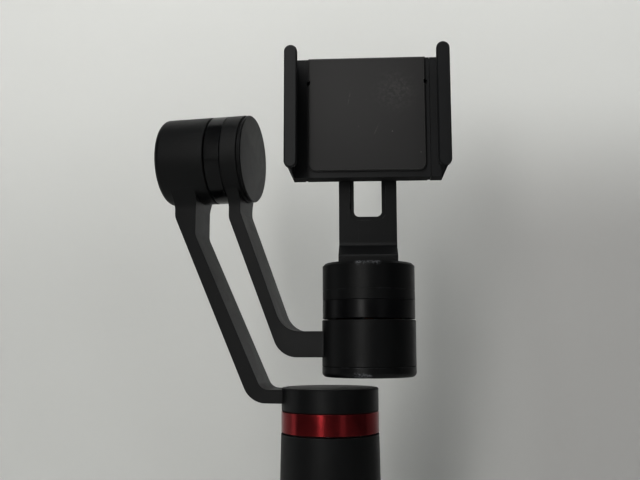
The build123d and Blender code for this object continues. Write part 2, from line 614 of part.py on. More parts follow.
def clamp_pad():
    """Rubber-faced pad behind the phone."""
    face = rounded_face([(-PAD_HALF, PAD_BOTTOM), (PAD_HALF, PAD_BOTTOM), (PAD_HALF, CLAMP_TOP),
                         (-PAD_HALF, CLAMP_TOP)], {0: 3.0, 1: 3.0})
    pad = slab_y(face, PAD_FRONT, BODY_FRONT)
    pad = chamfer(pad.edges().group_by(Axis.Y)[0], 0.45)
    for slot in latch_slots():
        pad = pad - slot
    return pad


def jaw(start):
    """Right-hand jaw: floor beside the body, side wall and front lip. start is the seam."""
    side = CLAMP_HALF
    inner = side - JAW_WALL
    cut_x, cut_z = JAW_CHAMFER
    foot = side + JAW_FLARE
    floor = rounded_face([(start, CLAMP_BOTTOM), (foot - cut_x, CLAMP_BOTTOM),
                          (foot, CLAMP_BOTTOM + cut_z), (foot, CLAMP_TOP - 1.2),
                          (foot - 1.2, CLAMP_TOP), (start, CLAMP_TOP)], {})
    shape = slab_y(floor, BODY_FRONT, BODY_BACK)
    wall = rounded_face([(inner, CLAMP_BOTTOM), (side - cut_x + 0.1, CLAMP_BOTTOM),
                         (side, CLAMP_BOTTOM + cut_z), (side, CLAMP_TOP - 1.2),
                         (side - 1.2, CLAMP_TOP), (inner, CLAMP_TOP)], {})
    shape = shape + slab_y(wall, JAW_FRONT + LIP_T - 0.1, BODY_FRONT + 0.1)
    low, high = CLAMP_BOTTOM + LIP_BELOW, CLAMP_TOP + LIP_ABOVE
    lip = Pos(side - LIP_W / 2, (low + high) / 2) * SlotOverall(high - low, LIP_W, rotation=90)
    lip = slab_y(lip, JAW_FRONT, JAW_FRONT + LIP_T)
    lip = chamfer(lip.edges().group_by(Axis.Y)[0], 0.5)
    return shape + lip


def jaw_pad():
    """Ribbed rubber strip on the inside of the right-hand jaw's wall."""
    inner = CLAMP_HALF - JAW_WALL
    strip = block((inner - JAW_PAD_T, inner), (JAW_FRONT + LIP_T + 0.3, BODY_FRONT - 0.4),
                  (CLAMP_BOTTOM + 5.0, CLAMP_TOP - 3.0))
    for y in (-4.4, -1.4, 1.6):
        strip = strip - block((inner - JAW_PAD_T - 1, inner - JAW_PAD_T + 0.4), (y, y + 0.9),
                              (CLAMP_BOTTOM, CLAMP_TOP))
    return strip


def sliding_jaw():
    """Jaw with its tongue and the two lugs that run on the guide rods."""
    seam = SEAM_HALF + 0.15
    tongue = block((TONGUE_END, seam + 0.5), (ROD_Y - 1.6, ROD_Y + 1.6),
                   (CLAMP_MID - TONGUE_HALF, CLAMP_MID + TONGUE_HALF))
    tongue = tongue - block((TONGUE_END + LUG_L + 4, SEAM_HALF - 8), (0, 20),
                            (CLAMP_MID - 9, CLAMP_MID + 9))
    lugs = block((TONGUE_END, TONGUE_END + LUG_L), (ROD_Y - 2.2, ROD_Y + 2.2),
                 (CLAMP_MID - ROD_Z - 2.4, CLAMP_MID + ROD_Z + 2.4))
    shape = jaw(seam) + tongue + lugs
    for side in (-1, 1):
        shape = shape - bar_x(ROD_R + 0.06, -30, 0, ROD_Y, CLAMP_MID + side * ROD_Z)
    return shape


def jaw_springs():
    """Compression spring on each guide rod, between a lug and the body's right wall."""
    start = TONGUE_END + LUG_L + 0.3
    length = SEAM_HALF - 1.8 - 0.4 - start
    wire_r = 0.28
    coils = []
    for side in (-1, 1):
        path = Helix(pitch=3.4, height=length - 2 * wire_r, radius=1.5)
        section = Plane(origin=path @ 0, z_dir=path % 0) * Circle(wire_r)
        coil = Rot(0, 90, 0) * sweep(section, path)
        coils.append(Pos(start + wire_r, ROD_Y, CLAMP_MID + side * ROD_Z) * coil)
    return coils


def lock_knob():
    """Lobed thumb knob with its threaded shank."""
    plane_y = NECK_FRONT + NECK_T
    knob = bar_y(KNOB_FLANGE_R, 0, plane_y + 0.12, plane_y + 1.6, BLOCK_Z)
    grip = bar_y(KNOB_R, 0, plane_y + 1.5, plane_y + 8.0, BLOCK_Z)
    grip = chamfer(grip.edges().sort_by(Axis.Y)[-1], 0.8)
    for i in range(12):
        turn = math.radians(360 * i / 12)
        x = (KNOB_R + 0.5) * math.cos(turn)
        z = BLOCK_Z + (KNOB_R + 0.5) * math.sin(turn)
        grip = grip - bar_y(1.1, x, plane_y + 1.6, plane_y + 9, z)
    shank = bar_y(LOCK_TAP_R - 0.05, 0, BODY_BACK - COVER_T + 0.2, plane_y + 0.2, BLOCK_Z)
    return knob + grip + shank


def add_clamp():
    mirrored = Plane.YZ
    parts["clamp_body"] = clamp_frame * clamp_body()
    parts["clamp_cover"] = clamp_frame * clamp_cover()
    parts["clamp_pad"] = clamp_frame * clamp_pad()
    parts["fixed_jaw"] = clamp_frame * mirror(jaw(SEAM_HALF), mirrored)
    parts["fixed_jaw_pad"] = clamp_frame * mirror(jaw_pad(), mirrored)
    parts["sliding_jaw"] = clamp_frame * sliding_jaw()
    parts["sliding_jaw_pad"] = clamp_frame * jaw_pad()
    rods = [bar_x(ROD_R - 0.01, -SEAM_HALF + 0.2, SEAM_HALF - 0.2, ROD_Y, CLAMP_MID + side * ROD_Z)
            for side in (-1, 1)]
    parts["guide_rods"] = group(rods, clamp_frame)
    parts["jaw_springs"] = group(jaw_springs(), clamp_frame)
    parts["lock_knob"] = clamp_frame * lock_knob()


# ---------------------------------------------------------------- assembly
add_handle()
add_motor("pan", pan_motor_at, PAN_R + 0.1, PAN_BELL_H, with_board=False)
add_motor("roll", roll_motor_at, MOTOR_R, ROLL_BELL_H, with_board=True)
add_motor("tilt", tilt_motor_at, MOTOR_R, TILT_BELL_H, with_board=True)
add_arms()
add_tilt()
add_clamp()

for node, shape in parts.items():
    export_step(shape, f"parts/{node}.step")
print(len(parts), "nodes")
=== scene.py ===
"""Looks of the handheld phone gimbal: materials, small surface pieces, light and camera."""

import json
import math

import bmesh
import bpy
from mathutils import Matrix, Vector
from mathutils.bvhtree import BVHTree


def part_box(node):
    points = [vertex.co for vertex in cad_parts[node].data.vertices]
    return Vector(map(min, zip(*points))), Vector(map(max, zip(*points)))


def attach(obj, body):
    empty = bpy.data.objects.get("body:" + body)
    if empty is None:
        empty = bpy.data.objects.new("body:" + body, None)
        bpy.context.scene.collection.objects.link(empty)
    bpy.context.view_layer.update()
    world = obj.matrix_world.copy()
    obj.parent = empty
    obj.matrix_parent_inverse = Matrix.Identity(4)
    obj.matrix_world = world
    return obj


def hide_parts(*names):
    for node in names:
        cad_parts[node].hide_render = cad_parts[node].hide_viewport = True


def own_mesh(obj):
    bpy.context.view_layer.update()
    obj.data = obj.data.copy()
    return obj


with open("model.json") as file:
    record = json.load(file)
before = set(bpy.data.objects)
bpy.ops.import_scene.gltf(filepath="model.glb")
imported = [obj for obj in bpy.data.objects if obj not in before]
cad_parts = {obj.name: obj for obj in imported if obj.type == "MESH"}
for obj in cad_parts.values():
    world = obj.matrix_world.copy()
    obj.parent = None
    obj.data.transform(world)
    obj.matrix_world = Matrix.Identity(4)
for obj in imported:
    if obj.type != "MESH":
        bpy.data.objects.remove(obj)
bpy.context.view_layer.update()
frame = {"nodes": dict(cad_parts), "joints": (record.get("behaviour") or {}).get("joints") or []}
MM = 0.001

# ---------------------------------------------------------------- camera
tilt_joint = next(joint for joint in frame["joints"] if joint["name"] == "tilt")
TILT_AXIS = Vector((*tilt_joint["pos_m"][:2], 0))    # foot of the axis, which is upright at rest
CAMERA_AT = TILT_AXIS + Vector((-0.15, -302.99, 204.27)) * MM
CAMERA_LEFT = math.radians(3.53)     # the camera looks to the left of +Y by this angle
CAMERA_UP = math.radians(7.5)        # and upwards by this one
CAMERA_ROLL = math.radians(-0.1)
camera_data = bpy.data.cameras.new("camera")
camera = bpy.data.objects.new("camera", camera_data)
bpy.context.scene.collection.objects.link(camera)
bpy.context.scene.camera = camera
camera_data.sensor_width = 36.0
camera_data.lens = 43.9
camera_data.clip_start = 0.01
camera_data.clip_end = 20.0
camera.matrix_world = (Matrix.Translation(CAMERA_AT) @ Matrix.Rotation(CAMERA_LEFT, 4, "Z")
                       @ Matrix.Rotation(math.radians(90) + CAMERA_UP, 4, "X")
                       @ Matrix.Rotation(CAMERA_ROLL, 4, "Z"))


# ---------------------------------------------------------------- node helpers
class Shader:
    """A material and short calls that add and link its nodes."""

    def __init__(self, name):
        self.material = bpy.data.materials.new(name)
        self.material.use_nodes = True
        self.tree = self.material.node_tree
        self.tree.nodes.clear()
        self.output = self.add("ShaderNodeOutputMaterial")
        self.surface = self.add("ShaderNodeBsdfPrincipled")
        self.link(self.surface.outputs["BSDF"], self.output.inputs["Surface"])
        self.position = self.add("ShaderNodeTexCoord").outputs["Object"]

    def add(self, kind, **settings):
        node = self.tree.nodes.new(kind)
        for key, value in settings.items():
            setattr(node, key, value)
        return node

    def link(self, source, target):
        self.tree.links.new(source, target)

    def feed(self, socket, value):
        """Link a socket, or set a plain value."""
        if isinstance(value, bpy.types.NodeSocket):
            self.link(value, socket)
        else:
            socket.default_value = value

    def scaled(self, scale, rotation=(0, 0, 0)):
        """The object's coordinates, stretched and turned."""
        node = self.add("ShaderNodeMapping")
        self.link(self.position, node.inputs["Vector"])
        node.inputs["Scale"].default_value = scale
        node.inputs["Rotation"].default_value = rotation
        return node.outputs["Vector"]

    def noise(self, scale, detail=3.0, rough=0.55, vector=None, distortion=0.0):
        node = self.add("ShaderNodeTexNoise")
        self.link(vector or self.position, node.inputs["Vector"])
        node.inputs["Scale"].default_value = scale
        node.inputs["Detail"].default_value = detail
        node.inputs["Roughness"].default_value = rough
        node.inputs["Distortion"].default_value = distortion
        return node.outputs["Fac"]

    def cells(self, scale, feature="F1", vector=None):
        node = self.add("ShaderNodeTexVoronoi", feature=feature)
        self.link(vector or self.position, node.inputs["Vector"])
        node.inputs["Scale"].default_value = scale
        return node.outputs["Distance"]

    def span(self, value, low, high, to_low=0.0, to_high=1.0, smooth=False):
        """Map a value from one range to another, clamped."""
        node = self.add("ShaderNodeMapRange", interpolation_type="SMOOTHSTEP" if smooth else "LINEAR")
        self.feed(node.inputs["Value"], value)
        node.inputs["From Min"].default_value = low
        node.inputs["From Max"].default_value = high
        node.inputs["To Min"].default_value = to_low
        node.inputs["To Max"].default_value = to_high
        return node.outputs["Result"]

    def math(self, operation, a, b=0.0):
        node = self.add("ShaderNodeMath", operation=operation)
        self.feed(node.inputs[0], a)
        self.feed(node.inputs[1], b)
        return node.outputs["Value"]

    def blend(self, factor, a, b):
        """Mix two colours."""
        node = self.add("ShaderNodeMix", data_type="RGBA")
        self.feed(node.inputs[0], factor)
        self.feed(node.inputs[6], a if isinstance(a, bpy.types.NodeSocket) else (*a, 1.0))
        self.feed(node.inputs[7], b if isinstance(b, bpy.types.NodeSocket) else (*b, 1.0))
        return node.outputs[2]

    def edges(self, width, low, high):
        """Mask of convex edges: where a rounded normal leaves the true one."""
        bevel = self.add("ShaderNodeBevel", samples=4)
        bevel.inputs["Radius"].default_value = width
        geometry = self.add("ShaderNodeNewGeometry")
        dot = self.add("ShaderNodeVectorMath", operation="DOT_PRODUCT")
        self.link(bevel.outputs["Normal"], dot.inputs[0])
        self.link(geometry.outputs["Normal"], dot.inputs[1])
        return self.span(self.math("SUBTRACT", 1.0, dot.outputs["Value"]), low, high)

    def component(self, vector, axis):
        """The X, Y or Z of a vector."""
        node = self.add("ShaderNodeSeparateXYZ")
        self.link(vector, node.inputs[0])
        return node.outputs[axis]

    def facing(self, axis):
        """The X, Y or Z of the surface's normal, in the object's own frame."""
        return self.component(self.add("ShaderNodeTexCoord").outputs["Normal"], axis)

    def bump(self, height, distance, strength, normal=None):
        node = self.add("ShaderNodeBump")
        self.feed(node.inputs["Height"], height)
        node.inputs["Distance"].default_value = distance
        node.inputs["Strength"].default_value = strength
        if normal is not None:
            self.link(normal, node.inputs["Normal"])
        return node.outputs["Normal"]

    def finish(self, colour, roughness, normal=None, metallic=0.0, specular=0.5, coat=0.0, coat_rough=0.1):
        inputs = self.surface.inputs
        self.feed(inputs["Base Color"], colour)
        self.feed(inputs["Roughness"], roughness)
        inputs["Metallic"].default_value = metallic
        inputs["Specular IOR Level"].default_value = specular
        inputs["Coat Weight"].default_value = coat
        inputs["Coat Roughness"].default_value = coat_rough
        if normal is not None:
            self.link(normal, inputs["Normal"])
        return self.material


# ---------------------------------------------------------------- materials
PAN_REST = math.radians(-9.3)      # the arms' angle about the handle in the stored pose
RINGS_Z = (60.0, 60.0, 9000.0)     # noise scales that draw fine rings round Z
RINGS_X = (9000.0, 60.0, 60.0)     # and round X
HIGHLIGHT_SPOT = 0.0013                 # radius of a painted highlight on a rim


def spot(s, centre, radius, fade):
    """Mask that is 1 near a point of the object and fades out."""
    node = s.add("ShaderNodeVectorMath", operation="DISTANCE")
    s.link(s.position, node.inputs[0])
    node.inputs[1].default_value = centre
    return s.span(node.outputs["Value"], radius, radius + fade, 1.0, 0.0, smooth=True)


def lathe_lines(s, axis):
    """Noise stretched into lathe lines round Z ("z") or round the roll axis ("roll")."""
    around = s.scaled(RINGS_X, rotation=(0, 0, -PAN_REST)) if axis == "roll" else s.scaled(RINGS_Z)
    return s.noise(1.0, 2.0, 0.7, vector=around)


def anodised(name, rough, wear, base=(0.0022, 0.0026, 0.0029), turned=None, highlight_spots=(), grain=1.0,
             specular=0.32, shaded_above=None, dark_edges=0.0):
    """Black anodised aluminium: bead-blasted grain or lathe lines, handling marks, wear on the edges, and
    painted highlights at the given spots.

    Higher than shaded_above, faces that don't face front or back get painted shade: darker, and rougher.
    dark_edges dulls every edge.
    """
    s = Shader(name)
    blotch = s.noise(38.0, 4.0, 0.6)
    fine = s.noise(5200.0, 2.0, 0.6)
    colour = s.blend(s.span(blotch, 0.35, 0.7), tuple(0.82 * c for c in base),
                     tuple(1.28 * c for c in base))
    dust = s.math("MULTIPLY", s.span(s.noise(900.0, 2.0), 0.62, 0.74),
                  s.span(s.noise(70.0, 3.0, distortion=0.6), 0.48, 0.66))
    colour = s.blend(s.math("MULTIPLY", dust, 0.14), colour, (0.055, 0.056, 0.058))
    edge = s.edges(0.00035, 0.03, 0.28)
    broken = s.span(s.noise(420.0, 3.0), 0.42, 0.62)
    wear_and_glints = s.math("MULTIPLY", s.math("MULTIPLY", edge, broken), wear)
    glint_breakup = s.span(s.noise(1500.0, 4.0, 0.7), 0.46, 0.58)
    # painted highlights: light grey spots round the given places, broken up by noise and joined to the
    # real edge wear
    for centre in highlight_spots:
        glint = s.math("MULTIPLY", spot(s, centre, HIGHLIGHT_SPOT * 0.3, HIGHLIGHT_SPOT), glint_breakup)
        wear_and_glints = s.math("MAXIMUM", wear_and_glints, s.math("MULTIPLY", glint, 0.45))
    colour = s.blend(wear_and_glints, colour, (0.30, 0.31, 0.33))
    smears = s.noise(55.0, 5.0, 0.65, distortion=1.2)
    roughness = s.math("ADD", s.span(smears, 0.3, 0.7, rough - 0.05, rough + 0.06),
                       s.math("MULTIPLY", fine, 0.05))
    roughness = s.math("SUBTRACT", roughness, s.math("MULTIPLY", wear_and_glints, 0.1))
    if turned is None:
        normal = s.bump(fine, 0.00004 * grain, 0.55)
    else:
        normal = s.bump(lathe_lines(s, turned), 0.00003 * grain, 0.35)
        normal = s.bump(fine, 0.00002, 0.3, normal)
    scratch = s.cells(150.0, "DISTANCE_TO_EDGE", vector=s.scaled((1.0, 1.0, 0.12)))
    scratch_mask = s.math("MULTIPLY", s.span(scratch, 0.0, 0.006, 1.0, 0.0),
                          s.span(s.noise(60.0, 2.0), 0.58, 0.66))
    colour = s.blend(s.math("MULTIPLY", scratch_mask, 0.25), colour, (0.09, 0.09, 0.095))
    if dark_edges:
        line = s.math("MULTIPLY", s.edges(0.00045, 0.01, 0.12), dark_edges)
        colour = s.blend(line, colour, (0.0004, 0.0004, 0.0005))
        roughness = s.math("ADD", roughness, s.math("MULTIPLY", line, 0.45))
    if shaded_above:
        # painted shade: above shaded_above, faces that don't face front or back are made darker and
        # rougher
        painted_side_shade = s.math("MULTIPLY", s.span(s.math("ABSOLUTE", s.facing("Y")), 0.80, 0.92, 1.0, 0.0),
                        s.span(s.component(s.position, "Z"), shaded_above, shaded_above + 0.001))
        colour = s.blend(painted_side_shade, colour, (0.0006, 0.0006, 0.0007))
        roughness = s.math("ADD", roughness, s.math("MULTIPLY", painted_side_shade, 0.6))
    return s.finish(colour, roughness, normal, specular=specular)


def polished(name, base, metallic, rough, edge_colour=None, specular=0.5, coat=0.0):
    """Polished anodised band with faint lathe lines and fingerprints."""
    s = Shader(name)
    lines = lathe_lines(s, "z")
    smear = s.noise(120.0, 4.0, 0.6, distortion=1.5)
    colour = s.blend(s.span(smear, 0.35, 0.7), tuple(0.85 * c for c in base), base)
    if edge_colour:
        colour = s.blend(s.math("MULTIPLY", s.edges(0.0003, 0.02, 0.2), 0.8), colour, edge_colour)
    roughness = s.math("ADD", s.span(smear, 0.35, 0.75, rough, rough + 0.09),
                       s.math("MULTIPLY", lines, 0.04))
    normal = s.bump(lines, 0.000012, 0.3)
    return s.finish(colour, roughness, normal, metallic=metallic, specular=specular, coat=coat,
                    coat_rough=0.16)


def moulded(name, base, rough, grain=5200.0, wear=0.25, dusty=0.2, specular=0.36, shade_below=False):
    """Moulded plastic with a fine spark-eroded grain, slightly polished edges and dust.

    shade_below paints shade on the faces that look down: darker, and rougher.
    """
    s = Shader(name)
    fine = s.noise(grain, 3.0, 0.65)
    blotch = s.noise(45.0, 4.0, 0.6)
    colour = s.blend(s.span(blotch, 0.3, 0.7), tuple(0.84 * c for c in base),
                     tuple(1.2 * c for c in base))
    edge = s.edges(0.0003, 0.03, 0.3)
    colour = s.blend(s.math("MULTIPLY", edge, wear), colour, tuple(3.0 * c + 0.03 for c in base))
    lint = s.math("MULTIPLY", s.span(s.cells(1500.0), 0.0, 0.16, 1.0, 0.0),
                  s.span(s.noise(130.0, 2.0), 0.56, 0.66))
    colour = s.blend(s.math("MULTIPLY", lint, dusty), colour, (0.16, 0.16, 0.16))
    roughness = s.math("SUBTRACT", s.span(blotch, 0.3, 0.7, rough - 0.04, rough + 0.05),
                       s.math("MULTIPLY", edge, 0.12))
    if shade_below:
        # painted shade on the faces that look down
        under = s.span(s.facing("Z"), -0.95, -0.75, 1.0, 0.0)
        colour = s.blend(under, colour, tuple(0.15 * c for c in base))
        roughness = s.math("ADD", roughness, s.math("MULTIPLY", under, 0.45))
    return s.finish(colour, roughness, s.bump(fine, 0.00005, 0.6), specular=specular)


def pad_rubber(name):
    """Matte rubber sheet: warm grey bloom, a painted highlight at the upper left, a smudge, lint, and a
    few light scratches.
    """
    s = Shader(name)
    fine = s.noise(3800.0, 3.0, 0.7)
    bloom = s.noise(26.0, 5.0, 0.6, distortion=0.4)
    colour = s.blend(s.span(bloom, 0.3, 0.72), (0.0250, 0.0246, 0.0248), (0.0350, 0.0342, 0.0345))
    low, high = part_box("clamp_pad")
    middle = (low + high) / 2
    size = high - low
    # painted highlight: a lighter patch towards the pad's upper left
    lit_patch = spot(s, middle + Vector((-0.15 * size.x, 0, 0.30 * size.z)), 0.006, 0.045)
    colour = s.blend(s.math("MULTIPLY", lit_patch, 0.55), colour, (0.0640, 0.0625, 0.0620))
    smudge_at = middle + Vector((0.24 * size.x, 0, 0.20 * size.z))
    smudge = s.math("MULTIPLY", spot(s, smudge_at, 0.001, 0.011),
                    s.span(s.noise(700.0, 4.0, 0.7), 0.42, 0.68))
    colour = s.blend(s.math("MULTIPLY", smudge, 0.40), colour, (0.120, 0.117, 0.114))
    specks = s.span(s.cells(300.0), 0.0, 0.10, 1.0, 0.0)
    chosen = s.span(s.noise(160.0, 1.0), 0.57, 0.62)
    colour = s.blend(s.math("MULTIPLY", specks, chosen), colour, (0.23, 0.23, 0.225))
    lint = s.math("MULTIPLY", s.span(s.cells(1900.0), 0.0, 0.15, 1.0, 0.0), s.span(bloom, 0.45, 0.6))
    colour = s.blend(s.math("MULTIPLY", lint, 0.4), colour, (0.10, 0.098, 0.096))
    # each scratch: its place as shares of the pad's width and height, its tilt, and half its length
    for x_share, z_share, tilt, length in ((-0.15, 0.14, 12.0, 0.0040), (0.33, 0.24, -38.0, 0.0032),
                                           (0.08, -0.14, 25.0, 0.0034)):
        centre = middle + Vector((x_share * size.x, 0, z_share * size.z))
        place = s.add("ShaderNodeMapping", vector_type="TEXTURE")
        s.link(s.position, place.inputs["Vector"])
        place.inputs["Location"].default_value = centre
        place.inputs["Rotation"].default_value = (0, math.radians(tilt), 0)
        place.inputs["Scale"].default_value = (0.00028, 1.0, length)
        radius = s.add("ShaderNodeVectorMath", operation="LENGTH")
        s.link(place.outputs["Vector"], radius.inputs[0])
        mark = s.span(radius.outputs["Value"], 0.2, 1.0, 0.6, 0.0, smooth=True)
        colour = s.blend(s.math("MULTIPLY", mark, s.span(s.noise(1200.0), 0.35, 0.6)), colour,
                         (0.12, 0.118, 0.115))
    # painted highlight along the pad's edges, where the chamfer catches light
    edge = s.edges(0.0005, 0.02, 0.25)
    colour = s.blend(s.math("MULTIPLY", edge, 0.6), colour, (0.150, 0.148, 0.145))
    roughness = s.span(bloom, 0.3, 0.7, 0.55, 0.66)
    return s.finish(colour, roughness, s.bump(fine, 0.00006, 0.55), specular=0.4)


def metal(name, base, rough, along=None):
    """Bare metal with a fine grain, which along stretches into lines."""
    s = Shader(name)
    grain = s.noise(1.0, 3.0, 0.6, vector=s.scaled(along)) if along else s.noise(3200.0, 3.0, 0.6)
    patch = s.noise(140.0, 3.0)
    colour = s.blend(s.span(patch, 0.3, 0.7), tuple(0.7 * c for c in base), base)
    roughness = s.math("ADD", s.span(patch, 0.3, 0.7, rough - 0.04, rough + 0.06),
                       s.math("MULTIPLY", grain, 0.06))
    return s.finish(colour, roughness, s.bump(grain, 0.00002, 0.4), metallic=1.0)


def windings(name):
    """Enamelled copper wire wound in close turns."""
    s = Shader(name)
    turns = s.add("ShaderNodeTexWave", wave_type="BANDS", bands_direction="Z")
    s.link(s.position, turns.inputs["Vector"])
    turns.inputs["Scale"].default_value = 900.0
    turns.inputs["Distortion"].default_value = 1.2
    colour = s.blend(turns.outputs["Fac"], (0.10, 0.030, 0.012), (0.34, 0.14, 0.06))
    return s.finish(colour, s.span(s.noise(400.0), 0.3, 0.7, 0.25, 0.4),
                    s.bump(turns.outputs["Fac"], 0.0001, 0.8), metallic=0.9)


def board(name):
    """Green solder mask with copper tracks under it."""
    s = Shader(name)
    tracks = s.cells(320.0, "DISTANCE_TO_EDGE")
    colour = s.blend(s.span(tracks, 0.02, 0.07, 1.0, 0.0), (0.006, 0.045, 0.022), (0.016, 0.10, 0.045))
    return s.finish(colour, s.span(s.noise(300.0), 0.3, 0.7, 0.3, 0.42), s.bump(tracks, 0.00005, 0.3))


def lens(name):
    """Frosted lens of the status light."""
    s = Shader(name)
    haze = s.noise(900.0, 2.0)
    colour = s.blend(haze, (0.45, 0.55, 0.50), (0.75, 0.85, 0.80))
    s.surface.inputs["Transmission Weight"].default_value = 0.35
    return s.finish(colour, s.span(haze, 0.3, 0.7, 0.3, 0.45), s.bump(haze, 0.00003, 0.3))


def wrap(name):
    """Heat-shrink film round the battery cell."""
    s = Shader(name)
    creases = s.noise(1.0, 3.0, vector=s.scaled((500.0, 500.0, 60.0)))
    colour = s.blend(s.span(creases, 0.35, 0.65), (0.02, 0.07, 0.20), (0.035, 0.11, 0.30))
    return s.finish(colour, s.span(creases, 0.3, 0.7, 0.25, 0.38), s.bump(creases, 0.0001, 0.4), coat=0.3)


def use(material, *names):
    """Give one material to several CAD nodes."""
    for node in names:
        mesh = frame["nodes"][node].data
        mesh.materials.clear()
        mesh.materials.append(material)


SLOT_LOW = 0.250         # just under the slot of the neck plate
cap_low, cap_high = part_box("tilt_cap")
end_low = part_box("tilt_end_cap")[0]
# painted highlights on the front of the tilt motor's top rim and on its end cap's lower edge
cap_highlights = [(TILT_AXIS.x + x, cap_low.y + 0.0010, cap_high.z - 0.0028)
             for x in (-0.0036, -0.0014, 0.0004, 0.0020, 0.0034)]
end_highlights = [(TILT_AXIS.x + x, end_low.y + 0.0006, end_low.z + 0.0008)
             for x in (-0.0048, -0.0034, -0.0018, -0.0002)]

use(anodised("anodised_grip", rough=0.46, grain=1.3, wear=0.25), "handle_tube")
use(anodised("anodised_arm", rough=0.40, wear=0.10, dark_edges=0.9), "pan_arm", "roll_arm")
use(anodised("anodised_end", rough=0.38, turned="z", wear=0.5, highlight_spots=end_highlights), "tilt_end_cap")
use(anodised("anodised_neck", base=(0.0062, 0.0068, 0.0074), rough=0.42, wear=0.4, shaded_above=SLOT_LOW),
    "neck_plate")
use(anodised("anodised_cap", rough=0.42, turned="z", wear=0.12, highlight_spots=cap_highlights), "tilt_cap")
use(anodised("anodised_roll_bell", rough=0.20, turned="roll", wear=0.35), "roll_bell")
use(anodised("anodised_disc", base=(0.0032, 0.0033, 0.0037), rough=0.40, specular=0.30, wear=0.3),
    "roll_end_cap", "pan_top_cover")
use(polished("gloss_black", (0.0036, 0.0037, 0.0044), 0.0, 0.27, specular=0.26), "tilt_bell")
use(polished("polished_red", (0.22, 0.016, 0.020), 0.82, 0.15, edge_colour=(0.50, 0.14, 0.15),
             coat=0.12), "pan_bell")
use(moulded("lid_plastic", (0.0060, 0.0060, 0.0066), rough=0.48), "pan_arm_lid", "roll_arm_lid")
use(moulded("clamp_plastic", (0.0086, 0.0093, 0.0104), rough=0.46, specular=0.40, shade_below=True),
    "clamp_body", "clamp_cover", "fixed_jaw", "sliding_jaw")
use(pad_rubber("pad_sheet"), "clamp_pad")
use(moulded("jaw_rubber", (0.0060, 0.0060, 0.0062), rough=0.62, dusty=0.5),
    "fixed_jaw_pad", "sliding_jaw_pad")
use(moulded("knob_plastic", (0.0060, 0.0060, 0.0066), rough=0.45), "lock_knob")
use(moulded("panel_plastic", (0.0040, 0.0040, 0.0045), rough=0.38, grain=6500.0), "control_panel",
    "joystick_housing", "battery_holder")
use(moulded("button_plastic", (0.0240, 0.0240, 0.0255), rough=0.40), "mode_button", "power_button")
use(moulded("stick_rubber", (0.0070, 0.0070, 0.0076), rough=0.60), "joystick_cap")
use(moulded("base_plastic", (0.0060, 0.0060, 0.0066), rough=0.50), "base_cap")
use(lens("light_lens"), "status_light")
use(metal("brass", (0.66, 0.45, 0.18), 0.30), "tripod_insert")
use(metal("black_screws", (0.05, 0.05, 0.055), 0.38), "base_screws", "neck_screws")
use(metal("ground_steel", (0.52, 0.52, 0.54), 0.22), "pan_shaft", "roll_shaft", "tilt_shaft", "guide_rods",
    "joystick_yoke", "battery_contacts")
use(metal("bearing_steel", (0.58, 0.58, 0.60), 0.18), "pan_bearings", "roll_bearings", "tilt_bearings")
use(metal("port_shell", (0.46, 0.46, 0.48), 0.30), "charging_port")
use(metal("stator_metal", (0.50, 0.50, 0.52), 0.34), "pan_stator_base", "roll_stator_base",
    "tilt_stator_base")
use(metal("core_steel", (0.24, 0.24, 0.25), 0.42, along=(60.0, 60.0, 5000.0)), "pan_stator_core",
    "roll_stator_core", "tilt_stator_core")
use(metal("magnet_nickel", (0.50, 0.49, 0.46), 0.28), "pan_magnets", "roll_magnets", "tilt_magnets")
use(windings("copper_wire"), "pan_windings", "roll_windings", "tilt_windings")
use(board("solder_mask"), "main_board", "roll_drive_board", "tilt_drive_board")
use(wrap("battery_wrap"), "battery_cell")


# ---------------------------------------------------------------- marks on the controls, and the springs
CAST_FROM_Y = -0.06      # in front of every control
SUNK = -0.03             # the feet of a raised line are under the surface, in millimetres


def arc(centre, radius, start, end, count):
    """Points (x, z) along an arc, in millimetres and degrees."""
    turns = [math.radians(start + (end - start) * i / (count - 1)) for i in range(count)]
    return [(centre[0] + radius * math.sin(turn), centre[1] + radius * math.cos(turn)) for turn in turns]


def circle(centre, radius, count):
    return arc(centre, radius, 0, 360 - 360 / count, count)


def new_piece(name, vertices, faces, material, smooth=False):
    """Object from mesh data, with its normals turned outwards."""
    mesh = bpy.data.meshes.new(name)
    mesh.from_pydata(vertices, [], faces)
    shape = bmesh.new()
    shape.from_mesh(mesh)
    bmesh.ops.recalc_face_normals(shape, faces=shape.faces)
    shape.to_mesh(mesh)
    shape.free()
    if smooth:
        mesh.polygons.foreach_set("use_smooth", [True] * len(mesh.polygons))
    mesh.materials.append(material)
    piece = bpy.data.objects.new(name, mesh)
    bpy.context.scene.collection.objects.link(piece)
    return piece


